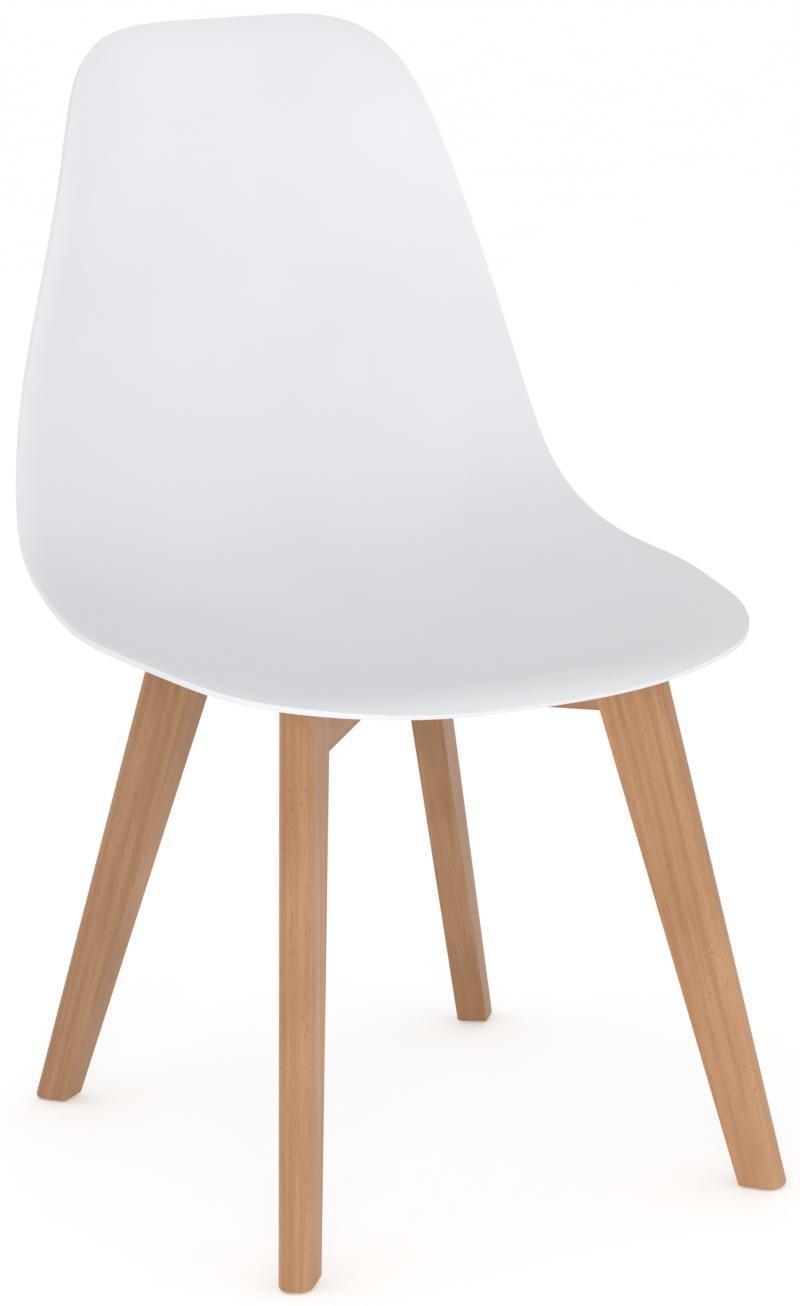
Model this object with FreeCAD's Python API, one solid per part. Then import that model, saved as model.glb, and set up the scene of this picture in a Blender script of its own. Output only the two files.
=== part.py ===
import FreeCAD
import Part

import math
import os

# Dining chair: one moulded plastic shell on a crossed beech frame with four board legs.
# Millimetres, +Z up. The sitter faces -Y and the sitter's left is +X.
# The origin is on the floor, under the middle of the chair.

Vector = FreeCAD.Vector
UP = Vector(0, 0, 1)

# ---------------------------------------------------------------- driving sizes
# Shell, centre line from the front lip to the top of the back: Y place and height above the rails
lip_place = -265.5
lip_height = 16.5
nose_place = -258.0
nose_height = 21.0
thigh_place = -206.0
thigh_height = 23.0
pan_place = -24.0
pan_height = 10.0
seat_back_place = 45.0
seat_back_height = 16.0
hip_place = 167.0
hip_height = 67.5
lumbar_place = 207.0
lumbar_height = 179.0
back_mid_place = 209.0
back_mid_height = 318.0
back_top_place = 226.5
back_top_height = 457.0

# Shell, half width at those places before the corners are rounded off
front_half_width = 210.0
seat_half_width = 234.5
seat_back_half_width = 231.0
hip_half_width = 221.5
lumbar_half_width = 204.0
back_mid_half_width = 166.5
back_top_half_width = 125.5

# Shell, how far the side edge stands up off the centre line at those places
lip_edge_rise = 2.0
nose_edge_rise = 3.0
thigh_edge_rise = 15.0
pan_edge_rise = 44.0
seat_back_edge_rise = 45.5
hip_edge_rise = 48.5
lumbar_edge_rise = 47.0
back_mid_edge_rise = 40.0
back_top_edge_rise = 4.0
edge_curl_power = 2.6

# Shell, corners and wall
front_corner_length = 140.0
front_corner_power = 2.65
top_corner_length = 123.0
top_corner_power = 4.5
shell_wall = 4.5

# Wooden frame: inner distances are measured along each diagonal from the crossing of the rails
board_thickness = 24.5
rail_top = 370.0
rail_depth = 26.0
crossing_place = 12.0
diagonal_angle = 52.0
front_foot_inner = 281.0
front_foot_width = 30.5
front_top_inner = 178.5
front_top_width = 52.5
rear_foot_inner = 285.0
rear_foot_width = 31.0
rear_top_inner = 131.0
rear_top_width = 53.0
leg_shell_gap = 2.0
leg_outer_round = 10.5
fullest_round = 0.45
leg_end_round = 2.5
board_edge_round = 1.2
lap_clearance = 0.1

# Dowels between each leg and its rail
dowel_diameter = 8.0
dowel_length = 36.0
dowel_pitch = 12.0
dowel_clearance = 0.1
dowel_end_gap = 1.0
dowel_tip_chamfer = 0.8

# Screws that hold the shell down on the rails
fixing_radius = 88.0
screw_diameter = 6.0
screw_length = 30.0
screw_head_diameter = 11.0
screw_head_height = 3.4
screw_head_round = 1.1
screw_drive_width = 4.0
screw_drive_depth = 2.0
screw_clearance = 0.4
head_pocket_depth = 8.0
head_pocket_clearance = 0.25
washer_diameter = 12.0
washer_thickness = 1.2
spring_washer_diameter = 10.5
spring_washer_thickness = 1.6
spring_washer_gap = 1.2
washer_bore_clearance = 0.2
pad_diameter = 20.0
pad_thickness = 2.0
boss_diameter = 19.0
insert_diameter = 8.4
insert_length = 7.0
insert_flange_diameter = 10.5
insert_flange_thickness = 0.8
insert_clearance = 0.05
thread_clearance = 0.1
screw_end_clearance = 0.5

# Wood screw through the lapped crossing of the rails
cross_screw_diameter = 4.5
cross_screw_length = 24.0
cross_screw_head_diameter = 9.0
cross_screw_head_height = 2.6
cross_screw_tip_diameter = 0.9
cross_screw_clearance = 0.1

# Nailed glides under the feet
glide_diameter = 17.0
glide_thickness = 3.0
glide_stand = 1.0
glide_clearance = 0.2
glide_edge_round = 0.6
glide_nail_diameter = 2.0
glide_nail_length = 16.0
glide_nail_head_diameter = 4.5
glide_nail_head_thickness = 0.8
nail_clearance = 0.05

# How finely the moulded surface and its rim are worked out
rows_along = 31
rows_across = 17
corner_steps = 9
side_steps = 16
skin_margin = 12.0
rim_cutter_reach = 12.0
nudge = 0.01
bisections = 30

# Spare length that a cutting tool reaches past what it cuts
overshoot = 1.0

CORNERS = {
    "front_left": (1, -1),
    "front_right": (-1, -1),
    "rear_left": (1, 1),
    "rear_right": (-1, 1),
}


rail_bottom = rail_top - rail_depth


# ---------------------------------------------------------------- shell surface
def spline(points, parameters):
    curve = Part.BSplineCurve()
    curve.interpolate(Points=points, Parameters=parameters)
    return curve


centre_points = [
    Vector(0, lip_place, rail_top + lip_height),
    Vector(0, nose_place, rail_top + nose_height),
    Vector(0, thigh_place, rail_top + thigh_height),
    Vector(0, pan_place, rail_top + pan_height),
    Vector(0, seat_back_place, rail_top + seat_back_height),
    Vector(0, hip_place, rail_top + hip_height),
    Vector(0, lumbar_place, rail_top + lumbar_height),
    Vector(0, back_mid_place, rail_top + back_mid_height),
    Vector(0, back_top_place, rail_top + back_top_height),
]
width_and_rise = [
    (front_half_width, lip_edge_rise),
    (front_half_width, nose_edge_rise),
    (front_half_width, thigh_edge_rise),
    (seat_half_width, pan_edge_rise),
    (seat_back_half_width, seat_back_edge_rise),
    (hip_half_width, hip_edge_rise),
    (lumbar_half_width, lumbar_edge_rise),
    (back_mid_half_width, back_mid_edge_rise),
    (back_top_half_width, back_top_edge_rise),
]
stations = [0.0]
for before, after in zip(centre_points, centre_points[1:]):
    stations.append(stations[-1] + before.distanceToPoint(after))
profile_length = stations[-1]
centre_line = spline(centre_points, stations)
section_points = [Vector(w, rise, along) for (w, rise), along in zip(width_and_rise, stations)]
section_line = spline(section_points, stations)


def centre_frame(along):
    """Point, direction and upward normal of the centre line; straight past its ends."""
    inside = min(max(along, 0.0), profile_length)
    direction = centre_line.tangent(inside)[0]
    point = centre_line.value(inside) + direction * (along - inside)
    return point, Vector(0, -direction.z, direction.y)


def section_sizes(along):
    """Half width and edge rise of the shell at a distance along the centre line."""
    value = section_line.value(min(max(along, 0.0), profile_length))
    return value.x, value.y


def middle_point(along, across):
    """Point half way through the wall."""
    point, normal = centre_frame(along)
    half_width, rise = section_sizes(along)
    curl = rise * (abs(across) / half_width) ** edge_curl_power
    return point + Vector(across, 0, 0) + normal * curl


def middle_normal(along, across):
    """Unit normal of the middle surface, towards the sitter."""
    step_along = middle_point(along + nudge, across) - middle_point(along - nudge, across)
    step_across = middle_point(along, across + nudge) - middle_point(along, across - nudge)
    normal = step_across.cross(step_along)
    normal.normalize()
    return normal


def skin_point(along, across, offset):
    return middle_point(along, across) + middle_normal(along, across) * offset


def skin_face(offset):
    """One skin of the wall, a little larger than the finished shell all round."""
    grid = []
    for row in range(rows_along):
        share = row / (rows_along - 1)
        along = -skin_margin + share * (profile_length + 2 * skin_margin)
        reach = section_sizes(along)[0] + skin_margin
        line = []
        for column in range(rows_across):
            across = reach * (2 * column / (rows_across - 1) - 1)
            line.append(skin_point(along, across, offset))
        grid.append(line)
    surface = Part.BSplineSurface()
    surface.interpolate(grid)
    return surface.toShape()


def corner_point(angle, power):
    """A superellipse quarter: (share of the corner's length, share of the width)."""
    return 1 - math.cos(angle) ** (2 / power), math.sin(angle) ** (2 / power)


def rim_outline():
    """Half of the rim as (along, across), from the front lip to the top of the back."""
    outline = []
    for step in range(corner_steps):
        angle = math.pi / 2 * step / corner_steps
        length_share, width_share = corner_point(angle, front_corner_power)
        along = front_corner_length * length_share
        outline.append((along, section_sizes(along)[0] * width_share))
    straight = profile_length - front_corner_length - top_corner_length
    for step in range(side_steps):
        along = front_corner_length + straight * step / side_steps
        outline.append((along, section_sizes(along)[0]))
    for step in range(corner_steps + 1):
        angle = math.pi / 2 * (1 - step / corner_steps)
        length_share, width_share = corner_point(angle, top_corner_power)
        along = profile_length - top_corner_length * length_share
        outline.append((along, section_sizes(along)[0] * width_share))
    return outline


def closed_curve(points):
    curve = Part.BSplineCurve()
    curve.interpolate(Points=points, PeriodicFlag=True)
    return curve


def rim_cutter():
    """A band that stands square to the wall all round the rim."""
    half = rim_outline()
    outline = half + [(along, -across) for along, across in reversed(half[1:-1])]
    upper = closed_curve([skin_point(a, w, rim_cutter_reach) for a, w in outline])
    lower = closed_curve([skin_point(a, w, -rim_cutter_reach) for a, w in outline])
    return Part.makeRuledSurface(upper.toShape(), lower.toShape())


def sewn_solid(faces):
    shell = Part.makeShell(faces)
    shell.sewShape()
    solid = Part.Solid(shell)
    if solid.Volume < 0:
        solid.reverse()
    return solid


def trimmed_wall():
    upper = skin_face(shell_wall / 2)
    lower = skin_face(-shell_wall / 2)
    sides = [Part.makeRuledSurface(a, b) for a, b in zip(upper.Edges, lower.Edges)]
    slab = sewn_solid([upper, lower] + sides)
    pieces, _ = slab.generalFuse([rim_cutter()])
    wall = max(pieces.Solids, key=lambda piece: piece.Volume)
    return wall


def pan_point(x, y):
    """Height of the middle of the wall in the seat, straight above a floor point."""
    low, high = 0.0, profile_length / 2
    for _ in range(bisections):
        along = (low + high) / 2
        if middle_point(along, x).y < y:
            low = along
        else:
            high = along
    return middle_point(low, x).z


# ---------------------------------------------------------------- plain solids
def upright_cylinder(x, y, bottom, height, diameter):
    return Part.makeCylinder(diameter / 2, height, Vector(x, y, bottom))


def upright_ring(x, y, bottom, height, outer, inner):
    body = upright_cylinder(x, y, bottom, height, outer)
    hole = upright_cylinder(x, y, bottom - overshoot, height + 2 * overshoot, inner)
    return body.cut(hole)


def turned(shape, corner):
    """Turn a shape modelled along +X onto the diagonal of one corner."""
    side, end = CORNERS[corner]
    heading = math.degrees(math.atan2(
        end * math.sin(math.radians(diagonal_angle)),
        side * math.cos(math.radians(diagonal_angle))))
    shape.rotate(Vector(0, 0, 0), UP, heading)
    shape.translate(Vector(0, crossing_place, 0))
    return shape


def place_on_diagonal(corner, radius):
    side, end = CORNERS[corner]
    angle = math.radians(diagonal_angle)
    return side * radius * math.cos(angle), crossing_place + end * radius * math.sin(angle)


def board(outline):
    """A board from its (distance, height) outline, its thickness centred on the diagonal."""
    points = [Vector(r, -board_thickness / 2, z) for r, z in outline]
    face = Part.Face(Part.makePolygon(points + points[:1]))
    return face.extrude(Vector(0, board_thickness, 0))


def edges_between(shape, start, end):
    """The edges of a board that run from one (distance, height) point to another."""
    found = []
    for edge in shape.Edges:
        ends = [(v.Point.x, v.Point.z) for v in edge.Vertexes]
        for first, second in ((start, end), (end, start)):
            if math.dist(ends[0], first) < nudge and math.dist(ends[-1], second) < nudge:
                found.append(edge)
                break
    return found


# ---------------------------------------------------------------- legs and rails
def leg_sizes(corner):
    """Inner edge and width at the foot, then inner edge and width at the rail's top."""
    if corner.startswith("front"):
        return front_foot_inner, front_foot_width, front_top_inner, front_top_width
    return rear_foot_inner, rear_foot_width, rear_top_inner, rear_top_width


def inner_edge(corner, height):
    """Distance of a leg's inner edge from the crossing of the rails, at a height."""
    foot, _, top, _ = leg_sizes(corner)
    return foot + (top - foot) * height / rail_top


def dowel_heights():
    middle = (rail_bottom + rail_top) / 2
    return {"lower": middle - dowel_pitch / 2, "upper": middle + dowel_pitch / 2}


def dowel_bores(corner):
    """Bores through the joint face between a leg and its rail, along the diagonal."""
    bores = []
    bore_length = dowel_length + 2 * dowel_end_gap
    for height in dowel_heights().values():
        start = inner_edge(corner, height) - bore_length / 2
        bores.append(Part.makeCylinder(
            dowel_diameter / 2 + dowel_clearance, bore_length, Vector(start, 0, height), Vector(1, 0, 0)))
    return bores


def dowel(corner, height):
    start = inner_edge(corner, height) - dowel_length / 2
    rod = Part.makeCylinder(dowel_diameter / 2, dowel_length, Vector(start, 0, height), Vector(1, 0, 0))
    tips = [edge for edge in rod.Edges if edge.isClosed()]
    return turned(rod.makeChamfer(dowel_tip_chamfer, tips), corner)


def foot_middle(corner):
    """Distance of the middle of a foot from the crossing of the rails."""
    return leg_sizes(corner)[0] + leg_sizes(corner)[1] / 2


def leg_top():
    """Height of the legs' tops: a gap below the shell where it is lowest over a front leg."""
    heights = []
    for radius in (front_top_inner, front_top_inner + front_top_width):
        x, y = place_on_diagonal("front_left", radius)
        heights.append(pan_point(x, y))
    return min(heights) - shell_wall / 2 - leg_shell_gap


def leg(corner):
    _, foot_width, _, top_width = leg_sizes(corner)
    outline = []
    for height in (glide_stand, leg_top()):
        width = foot_width + (top_width - foot_width) * height / rail_top
        inner = inner_edge(corner, height)
        outline += [(inner, height), (inner + width, height)]
    foot_inner, foot_outer, top_inner, top_outer = outline
    shape = board([foot_inner, foot_outer, top_outer, top_inner])
    outer_round = min(leg_outer_round, fullest_round * board_thickness)
    shape = shape.makeFillet(outer_round, edges_between(shape, foot_outer, top_outer))
    foot_face = min(shape.Faces, key=lambda face: face.CenterOfMass.z)
    shape = shape.makeFillet(leg_end_round, foot_face.Edges)
    recess = glide_thickness - glide_stand
    middle = foot_middle(corner)
    cuts = dowel_bores(corner)
    cuts.append(upright_cylinder(
        middle, 0, glide_stand - overshoot, recess + overshoot, glide_diameter + 2 * glide_clearance))
    cuts.append(upright_cylinder(
        middle, 0, glide_stand, glide_nail_length, glide_nail_diameter + 2 * nail_clearance))
    return turned(shape.cut(cuts), corner)


def rail(front_corner, rear_corner, lap_from_top):
    """A rail from a front leg to the rear leg across the chair, halved where they cross."""
    outline = [
        (inner_edge(front_corner, rail_bottom), rail_bottom),
        (inner_edge(front_corner, rail_top), rail_top),
        (-inner_edge(rear_corner, rail_top), rail_top),
        (-inner_edge(rear_corner, rail_bottom), rail_bottom),
    ]
    shape = board(outline)
    shape = shape.makeFillet(board_edge_round, edges_between(shape, outline[0], outline[3]))
    shape = shape.cut(dowel_bores(front_corner))
    shape = turned(shape, front_corner)
    shape = shape.cut([turned(bore, rear_corner) for bore in dowel_bores(rear_corner)])
    middle = (rail_bottom + rail_top) / 2
    lap_width = board_thickness + 2 * lap_clearance
    lap_bottom = middle if lap_from_top else rail_bottom - overshoot
    lap_height = rail_depth / 2 + overshoot
    lap = Part.makeBox(2 * fixing_radius, lap_width, lap_height,
                       Vector(-fixing_radius, -lap_width / 2, lap_bottom))
    other = "front_right" if front_corner == "front_left" else "front_left"
    shape = shape.cut(turned(lap, other))
    for corner in (front_corner, rear_corner):
        x, y = place_on_diagonal(corner, fixing_radius)
        widest = max(screw_head_diameter, washer_diameter, spring_washer_diameter)
        pocket = widest + 2 * head_pocket_clearance
        shape = shape.cut([
            upright_cylinder(x, y, rail_bottom - overshoot, head_pocket_depth + overshoot, pocket),
            upright_cylinder(x, y, rail_bottom, rail_top, screw_diameter + 2 * screw_clearance),
        ])
    return shape.cut(cross_screw_space())


# ---------------------------------------------------------------- shell with its bosses
def boss_bottom():
    return rail_top + pad_thickness


def insert_hole(x, y):
    """Stepped hole for an insert, with room for the end of its screw above it."""
    flange = upright_cylinder(
        x, y, boss_bottom() - overshoot, overshoot + insert_flange_thickness + insert_clearance,
        insert_flange_diameter + 2 * insert_clearance)
    bore = upright_cylinder(
        x, y, boss_bottom(), insert_length + insert_clearance, insert_diameter + 2 * insert_clearance)
    screw_end = head_top() + screw_length + screw_end_clearance
    end_room = upright_cylinder(
        x, y, boss_bottom(), screw_end - boss_bottom(), screw_diameter + 2 * screw_clearance)
    return flange.fuse([bore, end_room])


def boss(x, y, wall):
    """A boss that grows out of the under side of the wall."""
    height = pan_point(x, y) + boss_diameter - boss_bottom()
    pieces = upright_cylinder(x, y, boss_bottom(), height, boss_diameter).cut(wall)
    return min(pieces.Solids, key=lambda piece: piece.CenterOfMass.z)


def seat_shell():
    wall = trimmed_wall()
    bosses = []
    holes = []
    for corner in CORNERS:
        x, y = place_on_diagonal(corner, fixing_radius)
        bosses.append(boss(x, y, wall))
        holes.append(insert_hole(x, y))
    return wall.fuse(bosses).cut(holes).Solids[0]


# ---------------------------------------------------------------- fixings
def screw_seat():
    """Height at which the flat washer bears inside the rail's pocket."""
    return rail_bottom + head_pocket_depth


def head_top():
    """Height of the upper face of a shell screw's head, under its two washers."""
    return screw_seat() - washer_thickness - spring_washer_thickness


def washer(corner):
    x, y = place_on_diagonal(corner, fixing_radius)
    return upright_ring(x, y, screw_seat() - washer_thickness, washer_thickness,
                        washer_diameter, screw_diameter + 2 * washer_bore_clearance)


def spring_washer(corner):
    x, y = place_on_diagonal(corner, fixing_radius)
    bottom = head_top()
    ring = upright_ring(x, y, bottom, spring_washer_thickness,
                        spring_washer_diameter, screw_diameter + 2 * washer_bore_clearance)
    split = Part.makeBox(
        spring_washer_diameter, spring_washer_gap, spring_washer_thickness + 2 * overshoot,
        Vector(x, y - spring_washer_gap / 2, bottom - overshoot))
    return ring.cut(split)


def hex_prism(x, y, bottom, height, width):
    corner_radius = width / math.sqrt(3)
    points = []
    for step in range(6):
        angle = math.tau * step / 6
        points.append(Vector(x + corner_radius * math.cos(angle), y + corner_radius * math.sin(angle), bottom))
    return Part.Face(Part.makePolygon(points + points[:1])).extrude(Vector(0, 0, height))


def shell_screw(corner):
    x, y = place_on_diagonal(corner, fixing_radius)
    bottom = head_top() - screw_head_height
    head = upright_cylinder(x, y, bottom, screw_head_height, screw_head_diameter)
    lower_rim = [e for e in head.Edges if e.isClosed() and e.CenterOfMass.z < head_top() - nudge]
    head = head.makeFillet(screw_head_round, lower_rim)
    drive = hex_prism(x, y, bottom - overshoot, screw_drive_depth + overshoot, screw_drive_width)
    shank = upright_cylinder(x, y, head_top() - nudge, screw_length + nudge, screw_diameter)
    return head.cut(drive).fuse(shank).removeSplitter()


def spacer_pad(corner):
    x, y = place_on_diagonal(corner, fixing_radius)
    return upright_ring(x, y, rail_top, pad_thickness, pad_diameter, screw_diameter + 2 * screw_clearance)


def threaded_insert(corner):
    x, y = place_on_diagonal(corner, fixing_radius)
    flange = upright_cylinder(x, y, boss_bottom(), insert_flange_thickness, insert_flange_diameter)
    body = upright_cylinder(x, y, boss_bottom(), insert_length, insert_diameter)
    bore = upright_cylinder(
        x, y, boss_bottom() - overshoot, insert_length + 2 * overshoot, screw_diameter + 2 * thread_clearance)
    return flange.fuse(body).cut(bore)


def countersunk_screw(bottom, length, diameter, head_diameter, head_height):
    """A wood screw through the crossing of the rails, its point as long as it is thick."""
    def at(height):
        return Vector(0, crossing_place, bottom + height)

    head = Part.makeCone(head_diameter / 2, diameter / 2, head_height, at(0))
    shank = Part.makeCylinder(diameter / 2, length - head_height - diameter, at(head_height))
    tip = Part.makeCone(diameter / 2, cross_screw_tip_diameter / 2, diameter, at(length - diameter))
    return head.fuse([shank, tip]).removeSplitter()


def cross_screw():
    return countersunk_screw(rail_bottom, cross_screw_length, cross_screw_diameter,
                             cross_screw_head_diameter, cross_screw_head_height)


def cross_screw_space():
    gap = 2 * cross_screw_clearance
    return countersunk_screw(rail_bottom, cross_screw_length + gap, cross_screw_diameter + gap,
                             cross_screw_head_diameter + gap, cross_screw_head_height + gap)


# ---------------------------------------------------------------- feet
def foot_glide(corner):
    disc = Part.makeCylinder(glide_diameter / 2, glide_thickness, Vector(foot_middle(corner), 0, 0))
    lower_rim = [e for e in disc.Edges if e.isClosed() and e.CenterOfMass.z < nudge]
    disc = disc.makeFillet(glide_edge_round, lower_rim)
    space = glide_nail_space(corner, nail_clearance)
    return turned(disc.cut(space), corner)


def glide_nail_space(corner, clearance):
    """A nail, with its head sunk in the under side of the glide."""
    middle = foot_middle(corner)
    head_bottom = glide_stand / 2
    head = upright_cylinder(middle, 0, head_bottom - clearance, glide_nail_head_thickness + 2 * clearance,
                            glide_nail_head_diameter + 2 * clearance)
    shank = upright_cylinder(
        middle, 0, head_bottom, glide_nail_length - head_bottom, glide_nail_diameter + 2 * clearance)
    if clearance:
        mouth = upright_cylinder(
            middle, 0, -overshoot, overshoot + head_bottom, glide_nail_head_diameter + 2 * clearance)
        return head.fuse([shank, mouth])
    return head.fuse(shank)


def glide_nail(corner):
    return turned(glide_nail_space(corner, 0), corner)


# ---------------------------------------------------------------- the whole chair
def chair():
    nodes = {"seat_shell": seat_shell()}
    nodes["rail_front_left_to_rear_right"] = rail("front_left", "rear_right", True)
    nodes["rail_front_right_to_rear_left"] = rail("front_right", "rear_left", False)
    nodes["cross_screw"] = cross_screw()
    for corner in CORNERS:
        nodes["leg_" + corner] = leg(corner)
        nodes["shell_screw_" + corner] = shell_screw(corner)
        nodes["washer_" + corner] = washer(corner)
        nodes["spring_washer_" + corner] = spring_washer(corner)
        nodes["spacer_pad_" + corner] = spacer_pad(corner)
        nodes["threaded_insert_" + corner] = threaded_insert(corner)
        nodes["foot_glide_" + corner] = foot_glide(corner)
        nodes["glide_nail_" + corner] = glide_nail(corner)
        for place, height in dowel_heights().items():
            nodes["leg_dowel_" + corner + "_" + place] = dowel(corner, height)
    return nodes


os.makedirs("parts", exist_ok=True)
for name, shape in chair().items():
    shape.exportStep("parts/" + name + ".step")
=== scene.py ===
import math

import bmesh
import bpy
import numpy as np
from bpy.props import FloatProperty, FloatVectorProperty, IntProperty, PointerProperty
from mathutils import Matrix, Vector


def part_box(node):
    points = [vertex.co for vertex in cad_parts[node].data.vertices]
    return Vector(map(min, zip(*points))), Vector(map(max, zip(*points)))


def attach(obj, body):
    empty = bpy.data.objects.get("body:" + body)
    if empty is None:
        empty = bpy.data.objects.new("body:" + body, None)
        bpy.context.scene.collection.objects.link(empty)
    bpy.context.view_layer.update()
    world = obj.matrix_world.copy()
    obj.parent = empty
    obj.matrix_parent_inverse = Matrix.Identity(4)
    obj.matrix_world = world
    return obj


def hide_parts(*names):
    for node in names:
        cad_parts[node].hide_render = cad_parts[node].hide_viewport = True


bl_info = {
    "name": "Dining Chair Finisher",
    "version": (1, 0, 0),
    "blender": (4, 5, 0),
    "location": "3D View > Sidebar > Chair",
    "description": "Smooth shell, beech, metal and studio for a moulded dining chair",
    "category": "Object",
}

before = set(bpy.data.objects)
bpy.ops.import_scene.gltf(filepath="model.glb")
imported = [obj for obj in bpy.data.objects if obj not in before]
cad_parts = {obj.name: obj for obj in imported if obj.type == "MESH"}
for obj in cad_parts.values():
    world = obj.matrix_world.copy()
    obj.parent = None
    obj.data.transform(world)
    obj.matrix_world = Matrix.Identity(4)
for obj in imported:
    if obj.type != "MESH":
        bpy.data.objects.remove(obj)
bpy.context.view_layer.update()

MM = 0.001
CORNERS = ("front_left", "front_right", "rear_left", "rear_right")
RAILS = ("rail_front_left_to_rear_right", "rail_front_right_to_rear_left")

# The moulded shell at its named places along the centre line, in millimetres:
# place along Y, height, half width before the corners are rounded, rise of the side edge.
SHELL_PLACES = (
    ("lip", -265.5, 386.5, 210.0, 2.0),
    ("nose", -258.0, 391.0, 210.0, 3.0),
    ("thigh", -206.0, 393.0, 210.0, 15.0),
    ("pan", -24.0, 380.0, 234.5, 44.0),
    ("seat back", 45.0, 386.0, 231.0, 45.5),
    ("hip", 167.0, 437.5, 221.5, 48.5),
    ("lumbar", 207.0, 549.0, 204.0, 47.0),
    ("back middle", 209.0, 688.0, 166.5, 40.0),
    ("back top", 226.5, 827.0, 125.5, 4.0),
)

# Depth of the rim's roll at the middle of the front and the top, as a share of the sides'
END_ROLL_SHARE = 0.45
# How much closer together the shell's faces lie at its rim than they would evenly spaced
RIM_CROWDING = 0.35
RIM_SEGMENTS = 3
SHARP_ANGLE = math.radians(60)
# Points along each stretch of the outline, to measure the distance to the rim from
OUTLINE_POINTS = 240
# Halvings of the search for the place on the shell above a point
SEARCH_STEPS = 30

# A turned boss, in millimetres. The bore's mouth: out from the bore, up from the foot
BORE_MOUTH = ((0.0, 0.3), (0.4, 0.0))
# The foot's soft edge: out from the side, up from the foot
BOSS_FOOT = ((-0.8, 0.0), (-0.2, 0.3), (0.0, 1.0))
# The flared root, which ends inside the wall: out from the side, up from the wall's under side
BOSS_ROOT = ((0.1, -2.4), (0.4, -1.2), (1.2, -0.4), (2.2, 0.6))
# Below the wall, how much of the boss leans with the wall's slope
ROOT_BAND = 3.0 * MM
BORE_CLEARANCE = 0.05 * MM
TURNING_STEPS = 48
SAME_POINT = 0.001 * MM

# Painted shade: how dark each board is drawn beside the lightest one. The rear legs and the rails
# under the seat are darkened as if shaded by the shell.
BOARD_PAINTED_SHADE = {"leg_rear_right": 0.82, "leg_rear_left": 0.76, RAILS[0]: 0.80, RAILS[1]: 0.78}
# How far each next board is cut from the last one, in the same log
LOG_STEP = Vector((0.37, 0.21, 0.53))
# How much of a board counts as its end
BOARD_END = 8.0 * MM

# Soft lights: name, place, diameter
KEY_LIGHT = ("key", (-1.6, -3.4, 1.25), 2.0)
FILL_LIGHT = ("fill", (1.6, -3.2, 0.7), 2.4)
LIT_POINT = (0.0, 0.0, 0.45)
WHITE = (1.0, 1.0, 1.0, 1.0)


# ------------------------------------------------------------------ user settings
def tone(name, description, default):
    """A colour that the user can set."""
    return FloatVectorProperty(name=name, description=description, subtype="COLOR", size=3,
                               default=default, min=0.0, max=1.0)


class ChairShellSettings(bpy.types.PropertyGroup):
    wall: FloatProperty(
        name="Wall", description="Thickness of the moulded wall",
        default=4.5 * MM, min=1.0 * MM, unit="LENGTH")
    rim_round: FloatProperty(
        name="Rim round", description="Radius that softens both edges of the rim",
        default=2.0 * MM, min=0.1 * MM, unit="LENGTH")
    edge_curl_power: FloatProperty(
        name="Edge curl", description="How late across its width the shell curls up",
        default=2.6, min=1.5, max=6.0)
    front_corner_length: FloatProperty(
        name="Front corner length", description="Length over which the front corners round off",
        default=140.0 * MM, unit="LENGTH")
    front_corner_power: FloatProperty(
        name="Front corner fullness", description="2 is an ellipse, more is squarer",
        default=2.65, min=1.5, max=8.0)
    top_corner_length: FloatProperty(
        name="Top corner length", description="Length over which the top corners round off",
        default=123.0 * MM, unit="LENGTH")
    top_corner_power: FloatProperty(
        name="Top corner fullness", description="2 is an ellipse, more is squarer",
        default=4.5, min=1.5, max=8.0)
    roll_width: FloatProperty(
        name="Rim roll width", description="Width of the soft roll along the rim",
        default=17.0 * MM, unit="LENGTH")
    roll_depth: FloatProperty(
        name="Rim roll depth", description="How far the rim rolls away from the sitter",
        default=3.6 * MM, unit="LENGTH")
    roll_fade: FloatProperty(
        name="Rim roll fade", description="Length over which the roll grows towards the sides",
        default=190.0 * MM, unit="LENGTH")
    rows: IntProperty(name="Rows", description="Faces along the shell", default=88, min=8)
    columns: IntProperty(name="Columns", description="Faces across the shell", default=44, min=8)
    boss_diameter: FloatProperty(
        name="Boss diameter", description="Diameter of the four screw bosses",
        default=19.0 * MM, unit="LENGTH")
    colour: tone("Shell colour", "Moulded plastic", (0.79, 0.805, 0.83))


class ChairWoodSettings(bpy.types.PropertyGroup):
    light_tone: tone("Light tone", "Light early wood", (0.57, 0.315, 0.170))
    dark_tone: tone("Dark tone", "Darker late wood", (0.40, 0.200, 0.094))
    fleck_tone: tone("Fleck tone", "Ray flecks of beech", (0.25, 0.105, 0.045))


class ChairFixingSettings(bpy.types.PropertyGroup):
    zinc_dull: tone("Dull zinc", "Darker patches of the zinc plate", (0.50, 0.52, 0.55))
    zinc_bright: tone("Bright zinc", "Lighter patches of the zinc plate", (0.72, 0.73, 0.74))
    brass_dull: tone("Dull brass", "Darker rings of the inserts", (0.60, 0.40, 0.14))
    brass_bright: tone("Bright brass", "Lighter rings of the inserts", (0.80, 0.58, 0.26))
    rubber_dark: tone("Dark rubber", "Clean rubber of the pads", (0.018, 0.018, 0.019))
    rubber_light: tone("Light rubber", "Bloom on the pads", (0.045, 0.044, 0.043))
    nylon_dark: tone("Dark nylon", "Clean nylon of the glides", (0.10, 0.045, 0.02))
    nylon_light: tone("Light nylon", "Scuffed nylon of the glides", (0.17, 0.085, 0.04))


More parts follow.
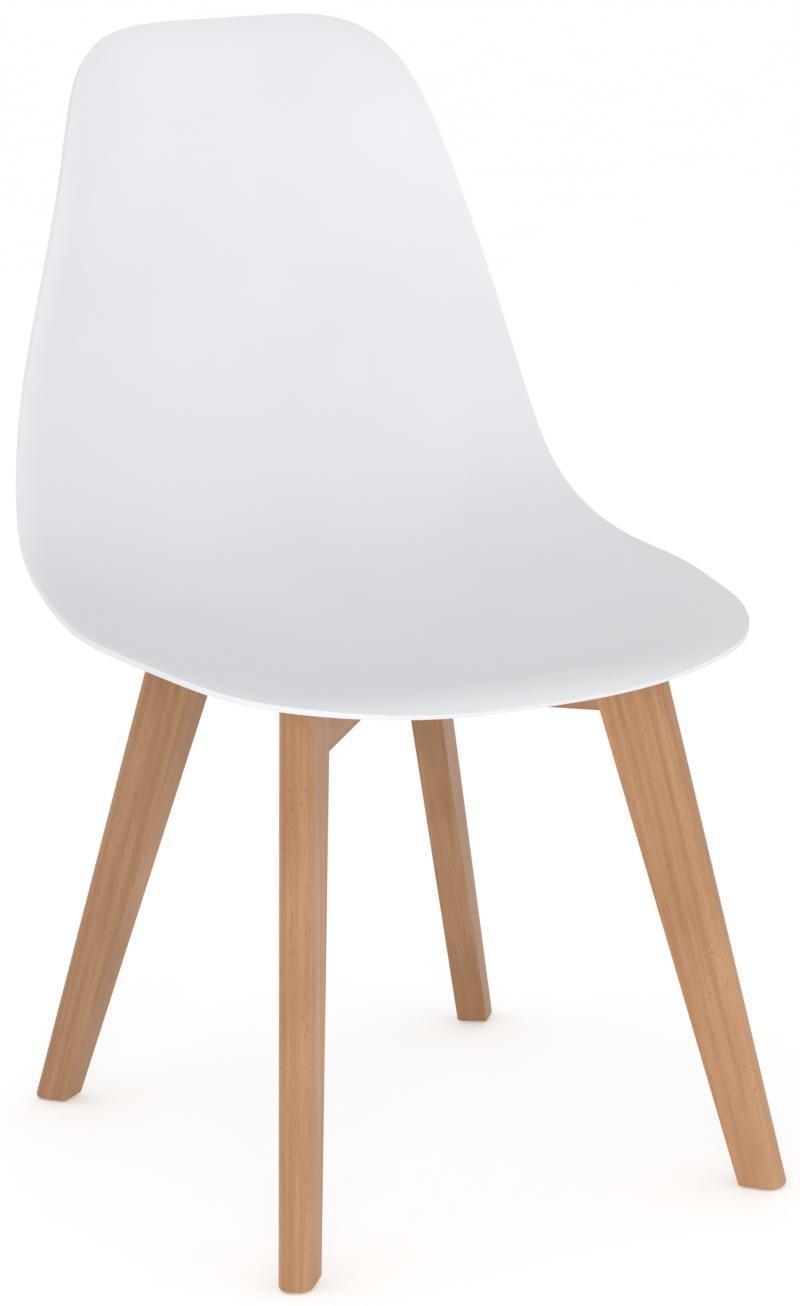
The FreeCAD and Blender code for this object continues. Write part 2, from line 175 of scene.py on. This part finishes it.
class ChairStudioSettings(bpy.types.PropertyGroup):
    azimuth: FloatProperty(
        name="Azimuth", description="Camera's turn about the vertical, 0 looks along +Y",
        default=math.radians(-24.66), subtype="ANGLE")
    elevation: FloatProperty(
        name="Elevation", description="Camera's look down", default=math.radians(11.95),
        subtype="ANGLE")
    roll: FloatProperty(
        name="Roll", description="Camera's tilt about its own axis",
        default=math.radians(-2.74), subtype="ANGLE")
    distance: FloatProperty(
        name="Distance", description="From the camera to the point it looks at",
        default=2.6825, unit="LENGTH")
    look_side: FloatProperty(
        name="Look side", description="Where it looks, to the right of the chair's middle",
        default=0.0128, unit="LENGTH")
    look_height: FloatProperty(
        name="Look height", description="Where it looks, above the floor", default=0.3757,
        unit="LENGTH")
    look_place: FloatProperty(
        name="Look place", description="Where it looks, along the chair's depth",
        default=-0.0065, unit="LENGTH")
    lens: FloatProperty(
        name="Lens", description="Focal length in millimetres", default=102.05, min=20.0)
    key_power: FloatProperty(
        name="Key power", description="Watts of the light at the front", default=30.0, min=0.0)
    fill_power: FloatProperty(
        name="Fill power", description="Watts of the light at the side", default=4.0, min=0.0)
    room_brightness: FloatProperty(
        name="Room brightness", description="Light from all round", default=0.78, min=0.0)
    floor_half_size: FloatProperty(
        name="Floor size", description="From the middle of the floor to its edge", default=40.0,
        unit="LENGTH")
    floor_glow: FloatProperty(
        name="Floor glow", description="The floor's own light, which softens shadows",
        default=0.26, min=0.0)
    floor_dark: tone("Dusty floor", "Darker patches of the floor", (0.93, 0.93, 0.93))
    floor_light: tone("Clean floor", "Lighter patches of the floor", (0.95, 0.95, 0.95))


# ------------------------------------------------------------------ smooth curves
class SmoothCurve:
    """A cubic curve of continuous curvature through values at given distances."""

    def __init__(self, distances, values):
        self.t = np.array(distances, float)
        self.v = np.array(values, float)
        step = np.diff(self.t)
        slope = np.diff(self.v, axis=0) / step[:, None]
        count = len(self.t)
        system = np.zeros((count, count))
        right = np.zeros_like(self.v)
        system[0, 0] = system[-1, -1] = 1.0
        right[0] = self.end_slope(self.t[:4], self.v[:4], self.t[0])
        right[-1] = self.end_slope(self.t[-4:], self.v[-4:], self.t[-1])
        for i in range(1, count - 1):
            system[i, i - 1] = step[i]
            system[i, i] = 2 * (step[i - 1] + step[i])
            system[i, i + 1] = step[i - 1]
            right[i] = 3 * (step[i] * slope[i - 1] + step[i - 1] * slope[i])
        self.m = np.linalg.solve(system, right)

    @staticmethod
    def end_slope(t, v, at):
        """Slope of the cubic through four values, at one of its ends."""
        powers = np.vander(t - at, 4, increasing=True)
        return np.linalg.solve(powers, v)[1]

    def value_and_slope(self, at):
        at = min(max(at, self.t[0]), self.t[-1])
        i = min(int(np.searchsorted(self.t, at, side="right")) - 1, len(self.t) - 2)
        h = self.t[i + 1] - self.t[i]
        s = (at - self.t[i]) / h
        a, b = self.v[i], self.v[i + 1]
        p, q = self.m[i] * h, self.m[i + 1] * h
        value = (1 + 2 * s) * (1 - s) ** 2 * a + s * (1 - s) ** 2 * p
        value += s * s * (3 - 2 * s) * b - s * s * (1 - s) * q
        slope = 6 * s * (s - 1) * (a - b) + (1 - s) * (1 - 3 * s) * p + s * (3 * s - 2) * q
        return value, slope / h


class ShellForm:
    """The middle surface of the shell, by distance along its centre line and across it."""

    def __init__(self, settings):
        self.settings = settings
        centre = np.array([(y, z) for _, y, z, _, _ in SHELL_PLACES]) * MM
        section = np.array([(width, rise) for _, _, _, width, rise in SHELL_PLACES]) * MM
        steps = np.linalg.norm(np.diff(centre, axis=0), axis=1)
        stations = np.concatenate([[0.0], np.cumsum(steps)])
        self.length = stations[-1]
        self.centre = SmoothCurve(stations, centre)
        self.section = SmoothCurve(stations, section)

    def point(self, along, across, rolled=0.0):
        """A point of the wall's middle, rolled away from the sitter by a distance."""
        (y, z), slope = self.centre.value_and_slope(along)
        slope = slope / np.linalg.norm(slope)
        beyond = along - min(max(along, 0.0), self.length)
        (half_width, rise), _ = self.section.value_and_slope(along)
        curl = rise * (abs(across) / half_width) ** self.settings.edge_curl_power - rolled
        return Vector((across,
                       y + slope[0] * beyond - slope[1] * curl,
                       z + slope[1] * beyond + slope[0] * curl))

    def half_width(self, along):
        return self.section.value_and_slope(along)[0][0]

    def corner(self, angle, length, power, from_front):
        """A point of a rounded corner; angle runs from the middle of the end to the side."""
        along = length * (1 - math.cos(angle) ** (2 / power))
        if not from_front:
            along = self.length - along
        return along, self.half_width(along) * math.sin(angle) ** (2 / power)

    def front_edge(self, share):
        """The front edge, from its middle at 0 to half way round its corner at 1."""
        s = self.settings
        return self.corner(share * math.pi / 4, s.front_corner_length, s.front_corner_power, True)

    def top_edge(self, share):
        """The top edge, from its middle at 0 to half way round its corner at 1."""
        s = self.settings
        return self.corner(share * math.pi / 4, s.top_corner_length, s.top_corner_power, False)

    def side_edge(self, share):
        """The side edge, from half way round the front corner to half way round the top one."""
        s = self.settings
        start = self.front_edge(1.0)[0]
        end = self.top_edge(1.0)[0]
        along = start + (end - start) * share
        width = self.half_width(along)
        front = max(0.0, 1 - along / s.front_corner_length)
        top = max(0.0, 1 - (self.length - along) / s.top_corner_length)
        width *= (1 - front ** s.front_corner_power) ** (1 / s.front_corner_power)
        width *= (1 - top ** s.top_corner_power) ** (1 / s.top_corner_power)
        return along, width

    def pattern_point(self, across_share, along_share):
        """A point of the flat pattern, blended in from its four edges."""
        s, t = across_share, along_share
        side = 1.0 if s >= 0 else -1.0
        front = Vector(self.front_edge(abs(s)))
        top = Vector(self.top_edge(abs(s)))
        edge = Vector(self.side_edge(t))
        corner_front = Vector(self.front_edge(1.0))
        corner_top = Vector(self.top_edge(1.0))
        middle = Vector((self.length * t, 0.0))
        w = abs(s)
        ends = front.lerp(top, t)
        sides = middle.lerp(edge, w)
        corners = Vector((0.0, 0.0)).lerp(Vector((self.length, 0.0)), t).lerp(
            corner_front.lerp(corner_top, t), w)
        flat = ends + sides - corners
        return flat.x, side * flat.y

    def outline(self):
        """Half of the flat pattern's outline, from the middle of the front to that of the top."""
        shares = np.linspace(0.0, 1.0, OUTLINE_POINTS)
        front = [self.front_edge(share) for share in shares]
        side = [self.side_edge(share) for share in shares[1:-1]]
        top = [self.top_edge(share) for share in shares[::-1]]
        return np.array(front + side + top)

    def under_side(self, x, y):
        """Height of the wall's under side above a point of the floor under the seat."""
        low, high = 0.0, self.length / 2
        for _ in range(SEARCH_STEPS):
            along = (low + high) / 2
            if self.point(along, x).y < y:
                low = along
            else:
                high = along
        return self.point(low, x).z - self.settings.wall / 2


# ------------------------------------------------------------------ pieces
def new_piece(name, mesh_data, material):
    """Link a finished bmesh as an object at the origin that rides on the chair."""
    mesh = bpy.data.meshes.new(name)
    mesh_data.to_mesh(mesh)
    mesh_data.free()
    for polygon in mesh.polygons:
        polygon.use_smooth = True
    piece = bpy.data.objects.new(name, mesh)
    bpy.context.scene.collection.objects.link(piece)
    mesh.materials.append(material)
    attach(piece, "root")
    return piece


def eased(share):
    """Crowd the faces towards both ends of -1 to 1, where the rim rolls over."""
    return share * (1 + RIM_CROWDING - RIM_CROWDING * share * share)


def distance_to_line(point, line):
    """Shortest distance from a point to a line of many short runs."""
    start, run = line[:-1], np.diff(line, axis=0)
    share = ((point - start) * run).sum(axis=1) / (run * run).sum(axis=1)
    nearest = start + np.clip(share, 0.0, 1.0)[:, None] * run
    return np.linalg.norm(nearest - point, axis=1).min()


def rim_roll(form, outline, along, across):
    """How far the rim is rolled away from the sitter near a point of the flat pattern."""
    s = form.settings
    inside = distance_to_line(np.array((along, abs(across))), outline)
    nearness = max(0.0, 1 - inside / s.roll_width)
    grown = min(1.0, max(0.0, min(along, form.length - along) / s.roll_fade))
    fullness = END_ROLL_SHARE + (1 - END_ROLL_SHARE) * grown * grown * (3 - 2 * grown)
    return s.roll_depth * fullness * nearness * nearness


def build_shell(form):
    """A flat grid of faces, bent to the middle of the shell's wall."""
    s = form.settings
    outline = form.outline()
    shell = bmesh.new()
    bmesh.ops.create_grid(shell, x_segments=s.columns, y_segments=s.rows, size=1.0)
    for vertex in shell.verts:
        along, across = form.pattern_point(eased(vertex.co.x), (eased(vertex.co.y) + 1) / 2)
        vertex.co = form.point(along, across, rim_roll(form, outline, along, across))
    bmesh.ops.recalc_face_normals(shell, faces=shell.faces)
    return shell


def finish_shell(piece, settings):
    """Give the shell its wall and its soft rim."""
    wall = piece.modifiers.new("Wall", "SOLIDIFY")
    wall.thickness = settings.wall
    wall.offset = 0.0
    wall.use_even_offset = True
    rim = piece.modifiers.new("Rim", "BEVEL")
    rim.width = settings.rim_round
    rim.segments = RIM_SEGMENTS
    rim.limit_method = "ANGLE"
    rim.angle_limit = SHARP_ANGLE
    smooth = piece.modifiers.new("Smooth", "SUBSURF")
    smooth.levels = 1
    smooth.render_levels = 1


def boss_profile(bore, outer, foot, root):
    """Closed outline of a boss as (radius, height): down its bore, round its foot and up."""
    rise = [root + up * MM for _, up in BOSS_ROOT]
    points = [(bore, rise[-1]), (bore, rise[0])]
    points += [(bore + out * MM, foot + up * MM) for out, up in BORE_MOUTH]
    points += [(outer + out * MM, foot + up * MM) for out, up in BOSS_FOOT]
    points += [(outer + out * MM, height) for (out, _), height in zip(BOSS_ROOT, rise)]
    return points


def turned_ring(points, centre):
    """Spin a closed (radius, height) profile about an upright axis."""
    turned = bmesh.new()
    line = [turned.verts.new((centre.x + r, centre.y, z)) for r, z in points]
    edges = [turned.edges.new(pair) for pair in zip(line, line[1:] + line[:1])]
    bmesh.ops.spin(turned, geom=line + edges, cent=(centre.x, centre.y, 0.0), axis=(0, 0, 1),
                   angle=2 * math.pi, steps=TURNING_STEPS, use_merge=True)
    bmesh.ops.remove_doubles(turned, verts=turned.verts, dist=SAME_POINT)
    bmesh.ops.recalc_face_normals(turned, faces=turned.faces)
    return turned


# ------------------------------------------------------------------ shader maths
class Nodes:
    """Adds nodes to one material and hands back their outputs as Wire values."""

    def __init__(self, material):
        material.use_nodes = True
        self.tree = material.node_tree
        self.shader = self.tree.nodes["Principled BSDF"]

    def add(self, kind, settings=None, inputs=None, output=0):
        """Add a node with its own settings first, then the values or links of its sockets."""
        node = self.tree.nodes.new(kind)
        for name, value in (settings or {}).items():
            setattr(node, name, value)
        for name, value in (inputs or {}).items():
            self.feed(node.inputs[name], value)
        return Wire(self, node.outputs[output])

    def feed(self, socket, value):
        if isinstance(value, Wire):
            self.tree.links.new(value.socket, socket)
        else:
            socket.default_value = value

    def maths(self, operation, *values):
        return self.add("ShaderNodeMath", {"operation": operation}, dict(enumerate(values)))

    def feed_shader(self, **sockets):
        for name, value in sockets.items():
            self.feed(self.shader.inputs[name.replace("_", " ")], value)

    def place(self):
        """Coordinates that stay with the piece."""
        return self.add("ShaderNodeTexCoord", output="Object")

    def mix(self, share, first, second):
        """Blend two colours, by a value from 0 to 1."""
        node = self.tree.nodes.new("ShaderNodeMix")
        node.data_type = "RGBA"
        sockets = {socket.identifier: socket for socket in node.inputs}
        self.feed(sockets["Factor_Float"], share)
        self.feed(sockets["A_Color"], first)
        self.feed(sockets["B_Color"], second)
        outputs = {socket.identifier: socket for socket in node.outputs}
        return Wire(self, outputs["Result_Color"])

    def stretch(self, vector, scale):
        return self.add("ShaderNodeVectorMath", {"operation": "MULTIPLY"}, {0: vector, 1: scale})

    def noise(self, vector, scale, detail=2.0, roughness=0.5, distortion=0.0):
        return self.add("ShaderNodeTexNoise", None, {
            "Vector": vector, "Scale": scale, "Detail": detail,
            "Roughness": roughness, "Distortion": distortion})

    def ramp(self, value, low, high):
        """0 below low, 1 above high, smooth between."""
        return self.add("ShaderNodeMapRange", {"interpolation_type": "SMOOTHSTEP"},
                        {"Value": value, "From Min": low, "From Max": high})

    def bump(self, height, distance, strength=1.0, normal=None):
        inputs = {"Height": height, "Distance": distance, "Strength": strength}
        if normal:
            inputs["Normal"] = normal
        return self.add("ShaderNodeBump", None, inputs)


class Wire:
    """One output socket, so that shader maths can be written as plain expressions."""

    def __init__(self, nodes, socket):
        self.nodes = nodes
        self.socket = socket

    def __add__(self, other):
        return self.nodes.maths("ADD", self, other)

    __radd__ = __add__

    def __mul__(self, other):
        return self.nodes.maths("MULTIPLY", self, other)

    __rmul__ = __mul__

    def __sub__(self, other):
        return self.nodes.maths("SUBTRACT", self, other)

    def __rsub__(self, other):
        return self.nodes.maths("SUBTRACT", other, self)


def new_material(name, **constants):
    material = bpy.data.materials.new(name)
    nodes = Nodes(material)
    nodes.feed_shader(**constants)
    return material, nodes


def set_material(node_name, material):
    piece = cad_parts[node_name]
    piece.data.materials.clear()
    piece.data.materials.append(material)


def shaded(colour, factor=1.0):
    """A user's colour made darker by a factor, as a socket takes it."""
    return (*(channel * factor for channel in colour), 1.0)


# ------------------------------------------------------------------ finishes
def moulded_plastic(colour):
    """Matt white plastic with a fine spark-eroded texture and faint uneven shrinkage."""
    material, nodes = new_material("moulded_white_plastic", IOR=1.49, Specular_IOR_Level=0.42,
                                   Subsurface_Weight=0.06, Subsurface_Scale=0.01)
    place = nodes.place()
    cloud = nodes.noise(place, scale=9.0)
    grain = nodes.noise(place, scale=1500.0)
    orange_peel = nodes.noise(place, scale=160.0)
    shade = nodes.ramp(cloud, low=0.3, high=0.7)
    skin = nodes.bump(grain, distance=0.06 * MM, strength=0.35)
    nodes.feed_shader(
        Base_Color=nodes.mix(shade, shaded(colour, 0.975), shaded(colour)),
        Roughness=0.40 + 0.07 * grain + 0.05 * cloud,
        Normal=nodes.bump(orange_peel, distance=0.1 * MM, strength=0.25, normal=skin))
    return material


def board_line(node_name):
    """Direction of a board's length and its middle, from the middles of its two ends."""
    points = np.array([vertex.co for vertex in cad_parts[node_name].data.vertices])
    if node_name.startswith("leg"):
        level = points[:, 2]
    else:
        level = points @ np.array([1.0, -1.0 if "front_left" in node_name else 1.0, 0.0])
    high = points[level > level.max() - BOARD_END].mean(axis=0)
    low = points[level < level.min() + BOARD_END].mean(axis=0)
    return Vector(high - low).normalized(), Vector((high + low) / 2)


def along_board(nodes, node_name, number):
    """Coordinates whose Z runs along a board, shifted so that each board's grain is its own."""
    direction, middle = board_line(node_name)
    heading = math.atan2(direction.y, direction.x)
    tilt = math.acos(direction.z)
    centred = nodes.add("ShaderNodeVectorMath", {"operation": "SUBTRACT"},
                        {0: nodes.place(), 1: tuple(middle)})
    faced = nodes.add("ShaderNodeMapping", None,
                      {"Vector": centred, "Rotation": (0.0, 0.0, -heading)})
    return nodes.add("ShaderNodeMapping", None,
                     {"Vector": faced, "Rotation": (0.0, -tilt, 0.0),
                      "Location": LOG_STEP * number})


def beech(node_name, wood, number):
    """Steamed beech under satin lacquer, its grain laid along one board."""
    # Painted shade: the rear legs and the rails under the seat are drawn darker, as if shaded by
    # the shell
    painted_shade = BOARD_PAINTED_SHADE.get(node_name, 1.0)
    material, nodes = new_material("beech_" + node_name, IOR=1.5, Coat_Weight=0.06,
                                   Coat_Roughness=0.3, Specular_IOR_Level=0.3)
    board = along_board(nodes, node_name, number)
    figure = nodes.noise(nodes.stretch(board, (1.0, 1.0, 0.10)), scale=34.0, detail=4.0,
                         roughness=0.55, distortion=0.8)
    streaks = nodes.noise(nodes.stretch(board, (1.0, 1.0, 0.025)), scale=330.0, detail=4.0,
                          roughness=0.65)
    pores = nodes.noise(nodes.stretch(board, (1.0, 1.0, 0.06)), scale=1500.0, roughness=0.6)
    flecks = nodes.noise(nodes.stretch(board, (1.0, 1.0, 0.22)), scale=1050.0, detail=1.0)
    blush = nodes.noise(board, scale=7.0)
    rings = nodes.add("ShaderNodeTexWave", {
        "wave_type": "BANDS", "bands_direction": "X", "wave_profile": "SIN"}, {
        "Vector": nodes.stretch(board, (1.0, 0.35, 0.06)), "Scale": 26.0, "Distortion": 5.5,
        "Detail": 2.0, "Detail Scale": 1.2}, output="Fac")
    in_fleck = nodes.ramp(flecks, low=0.64, high=0.74)
    in_pore = nodes.ramp(pores, low=0.60, high=0.78)
    lightness = 0.26 * figure + 0.38 * streaks + 0.06 * rings + 0.30 * blush
    # The grain's two tones, darkened by the board's painted shade
    plain = nodes.mix(nodes.ramp(lightness, low=0.34, high=0.66),
                      shaded(wood.dark_tone, painted_shade), shaded(wood.light_tone, painted_shade))
    pored = nodes.mix(0.30 * in_pore, plain, shaded(wood.fleck_tone))
    height = 1.0 - 0.6 * in_pore - 0.4 * in_fleck + 0.3 * streaks
    nodes.feed_shader(
        Base_Color=nodes.mix(0.55 * in_fleck, pored, shaded(wood.fleck_tone)),
        Roughness=0.44 + 0.10 * streaks + 0.10 * in_pore,
        Normal=nodes.bump(height, distance=0.12 * MM, strength=0.5))
    return material


def zinc_plate(tones):
    """Bright zinc over turned steel: fine rings, small dull patches."""
    material, nodes = new_material("bright_zinc_plate", Metallic=1.0)
    place = nodes.place()
    spangle = nodes.noise(place, scale=700.0, detail=3.0)
    marks = nodes.noise(nodes.stretch(place, (1.0, 1.0, 9.0)), scale=900.0)
    nodes.feed_shader(
        Base_Color=nodes.mix(spangle, shaded(tones.zinc_dull), shaded(tones.zinc_bright)),
        Roughness=0.22 + 0.25 * marks,
        Normal=nodes.bump(marks, distance=0.04 * MM, strength=0.5))
    return material


def turned_brass(tones):
    """Brass with the fine rings of a lathe tool."""
    material, nodes = new_material("turned_brass", Metallic=1.0)
    rings = nodes.noise(nodes.stretch(nodes.place(), (1.0, 1.0, 12.0)), scale=500.0)
    nodes.feed_shader(
        Base_Color=nodes.mix(rings, shaded(tones.brass_dull), shaded(tones.brass_bright)),
        Roughness=0.25 + 0.2 * rings)
    return material


def matt_rubber(tones):
    """Black rubber with a faint grey bloom."""
    material, nodes = new_material("matt_black_rubber", IOR=1.5, Specular_IOR_Level=0.3)
    bloom = nodes.noise(nodes.place(), scale=260.0, detail=3.0)
    nodes.feed_shader(
        Base_Color=nodes.mix(bloom, shaded(tones.rubber_dark), shaded(tones.rubber_light)),
        Roughness=0.70 + 0.2 * bloom,
        Normal=nodes.bump(bloom, distance=0.08 * MM, strength=0.4))
    return material


def brown_nylon(tones):
    """Brown nylon, scuffed across by the floor."""
    material, nodes = new_material("brown_nylon", IOR=1.53)
    scuffs = nodes.noise(nodes.stretch(nodes.place(), (1.0, 0.2, 1.0)), scale=900.0, detail=3.0)
    nodes.feed_shader(
        Base_Color=nodes.mix(scuffs, shaded(tones.nylon_dark), shaded(tones.nylon_light)),
        Roughness=0.40 + 0.25 * scuffs,
        Normal=nodes.bump(scuffs, distance=0.05 * MM, strength=0.4))
    return material


# ------------------------------------------------------------------ operators
class CHAIR_OT_shell(bpy.types.Operator):
    """Model the moulded shell in place of its plain solid"""
    bl_idname = "chair.shell"
    bl_label = "Moulded Shell"

    def execute(self, context):
        settings = context.scene.chair_shell
        form = ShellForm(settings)
        material = moulded_plastic(settings.colour)
        shell = new_piece("moulded_shell", build_shell(form), material)
        finish_shell(shell, settings)
        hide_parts("seat_shell")
        return {"FINISHED"}


class CHAIR_OT_bosses(bpy.types.Operator):
    """Model the four screw bosses under the seat around their brass inserts"""
    bl_idname = "chair.bosses"
    bl_label = "Screw Bosses"

    def execute(self, context):
        settings = context.scene.chair_shell
        form = ShellForm(settings)
        material = bpy.data.materials["moulded_white_plastic"]
        for corner in CORNERS:
            low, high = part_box("threaded_insert_" + corner)
            centre = (low + high) / 2
            root = form.under_side(centre.x, centre.y)
            bore = (high.x - low.x) / 2 + BORE_CLEARANCE
            profile = boss_profile(bore, settings.boss_diameter / 2, low.z, root)
            boss = turned_ring(profile, centre)
            for vertex in boss.verts:
                if vertex.co.z > root - ROOT_BAND:
                    vertex.co.z += form.under_side(vertex.co.x, vertex.co.y) - root
            new_piece("shell_boss_" + corner, boss, material)
        return {"FINISHED"}


class CHAIR_OT_wood(bpy.types.Operator):
    """Give every leg, rail and dowel its own length of beech"""
    bl_idname = "chair.wood"
    bl_label = "Beech"

    def execute(self, context):
        wood = context.scene.chair_wood
        boards = ["leg_" + corner for corner in CORNERS] + list(RAILS)
        for number, node_name in enumerate(boards):
            set_material(node_name, beech(node_name, wood, number))
        dowel_wood = beech("leg_front_left", wood, len(boards))
        for node_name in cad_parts:
            if node_name.startswith("leg_dowel"):
                set_material(node_name, dowel_wood)
        return {"FINISHED"}


class CHAIR_OT_fixings(bpy.types.Operator):
    """Finish the screws, washers, inserts, pads, glides and nails"""
    bl_idname = "chair.fixings"
    bl_label = "Fixings"

    def execute(self, context):
        tones = context.scene.chair_fixings
        zinc = zinc_plate(tones)
        finishes = {
            "shell_screw": zinc, "cross_screw": zinc, "washer": zinc, "spring_washer": zinc,
            "glide_nail": zinc,
            "threaded_insert": turned_brass(tones),
            "spacer_pad": matt_rubber(tones),
            "foot_glide": brown_nylon(tones),
        }
        for node_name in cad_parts:
            for start, material in finishes.items():
                if node_name.startswith(start):
                    set_material(node_name, material)
        return {"FINISHED"}


class CHAIR_OT_stage(bpy.types.Operator):
    """Lay the pale floor, hang the soft lights and set up the camera"""
    bl_idname = "chair.stage"
    bl_label = "Studio"

    def execute(self, context):
        studio = context.scene.chair_studio
        lay_floor(studio)
        light_room(context.scene, studio)
        place_camera(context.scene, studio)
        return {"FINISHED"}


# ------------------------------------------------------------------ studio
def lay_floor(studio):
    """A wide pale floor, a little bright of itself so that it shows no hard shadow."""
    plane = bmesh.new()
    bmesh.ops.create_grid(plane, x_segments=1, y_segments=1, size=studio.floor_half_size)
    mesh = bpy.data.meshes.new("floor")
    plane.to_mesh(mesh)
    plane.free()
    floor = bpy.data.objects.new("floor", mesh)
    bpy.context.scene.collection.objects.link(floor)
    material, nodes = new_material("pale_floor", Specular_IOR_Level=0.2, Roughness=0.8,
                                   Emission_Color=WHITE, Emission_Strength=studio.floor_glow)
    dust = nodes.noise(nodes.place(), scale=3.0)
    nodes.feed_shader(
        Base_Color=nodes.mix(dust, shaded(studio.floor_dark), shaded(studio.floor_light)))
    mesh.materials.append(material)


def soft_light(scene, name, place, diameter, power):
    """A round lamp that faces the chair."""
    data = bpy.data.lights.new(name, "AREA")
    data.shape = "DISK"
    data.size = diameter
    data.energy = power
    lamp = bpy.data.objects.new(name, data)
    lamp.location = place
    facing = Vector(LIT_POINT) - Vector(place)
    lamp.rotation_euler = facing.to_track_quat("-Z", "Y").to_euler()
    scene.collection.objects.link(lamp)


def light_room(scene, studio):
    """Even light from all round, and two soft lamps."""
    world = bpy.data.worlds.new("studio")
    scene.world = world
    world.use_nodes = True
    background = world.node_tree.nodes["Background"]
    background.inputs["Color"].default_value = WHITE
    background.inputs["Strength"].default_value = studio.room_brightness
    soft_light(scene, *KEY_LIGHT, studio.key_power)
    soft_light(scene, *FILL_LIGHT, studio.fill_power)
    scene.view_settings.view_transform = "Standard"


def place_camera(scene, studio):
    """Set the camera up from where it looks, its angles and its distance."""
    turn, down = studio.azimuth, studio.elevation
    level = Vector((math.sin(turn), -math.cos(turn), 0.0))
    back = level * math.cos(down) + Vector((0.0, 0.0, math.sin(down)))
    right = Vector((math.cos(turn), math.sin(turn), 0.0))
    up = back.cross(right)
    target = right * studio.look_side + Vector((0.0, studio.look_place, studio.look_height))
    turned_right = right * math.cos(studio.roll) + up * math.sin(studio.roll)
    turned_up = up * math.cos(studio.roll) - right * math.sin(studio.roll)
    data = bpy.data.cameras.new("camera")
    data.lens = studio.lens
    camera = bpy.data.objects.new("camera", data)
    rotation = Matrix((turned_right, turned_up, back)).transposed().to_4x4()
    camera.matrix_world = Matrix.Translation(target + back * studio.distance) @ rotation
    scene.collection.objects.link(camera)
    scene.camera = camera


# ------------------------------------------------------------------ add-on
class CHAIR_PT_panel(bpy.types.Panel):
    """The steps that finish the chair, in order"""
    bl_idname = "CHAIR_PT_panel"
    bl_label = "Dining Chair"
    bl_space_type = "VIEW_3D"
    bl_region_type = "UI"
    bl_category = "Chair"

    def draw(self, context):
        layout = self.layout
        for step in STEPS:
            layout.operator(step.bl_idname)
        for group in SETTINGS:
            settings = getattr(context.scene, group)
            box = layout.box()
            for name in settings.bl_rna.properties.keys():
                if name not in ("rna_type", "name"):
                    box.prop(settings, name)


SETTINGS = {
    "chair_shell": ChairShellSettings,
    "chair_wood": ChairWoodSettings,
    "chair_fixings": ChairFixingSettings,
    "chair_studio": ChairStudioSettings,
}
STEPS = (CHAIR_OT_shell, CHAIR_OT_bosses, CHAIR_OT_wood, CHAIR_OT_fixings, CHAIR_OT_stage)


def register():
    for name, settings in SETTINGS.items():
        bpy.utils.register_class(settings)
        setattr(bpy.types.Scene, name, PointerProperty(type=settings))
    for step in STEPS:
        bpy.utils.register_class(step)
    bpy.utils.register_class(CHAIR_PT_panel)


def unregister():
    bpy.utils.unregister_class(CHAIR_PT_panel)
    for step in reversed(STEPS):
        bpy.utils.unregister_class(step)
    for name, settings in SETTINGS.items():
        delattr(bpy.types.Scene, name)
        bpy.utils.unregister_class(settings)


def main():
    register()
    bpy.ops.chair.shell()
    bpy.ops.chair.bosses()
    bpy.ops.chair.wood()
    bpy.ops.chair.fixings()
    bpy.ops.chair.stage()


if __name__ == "__main__":
    main()
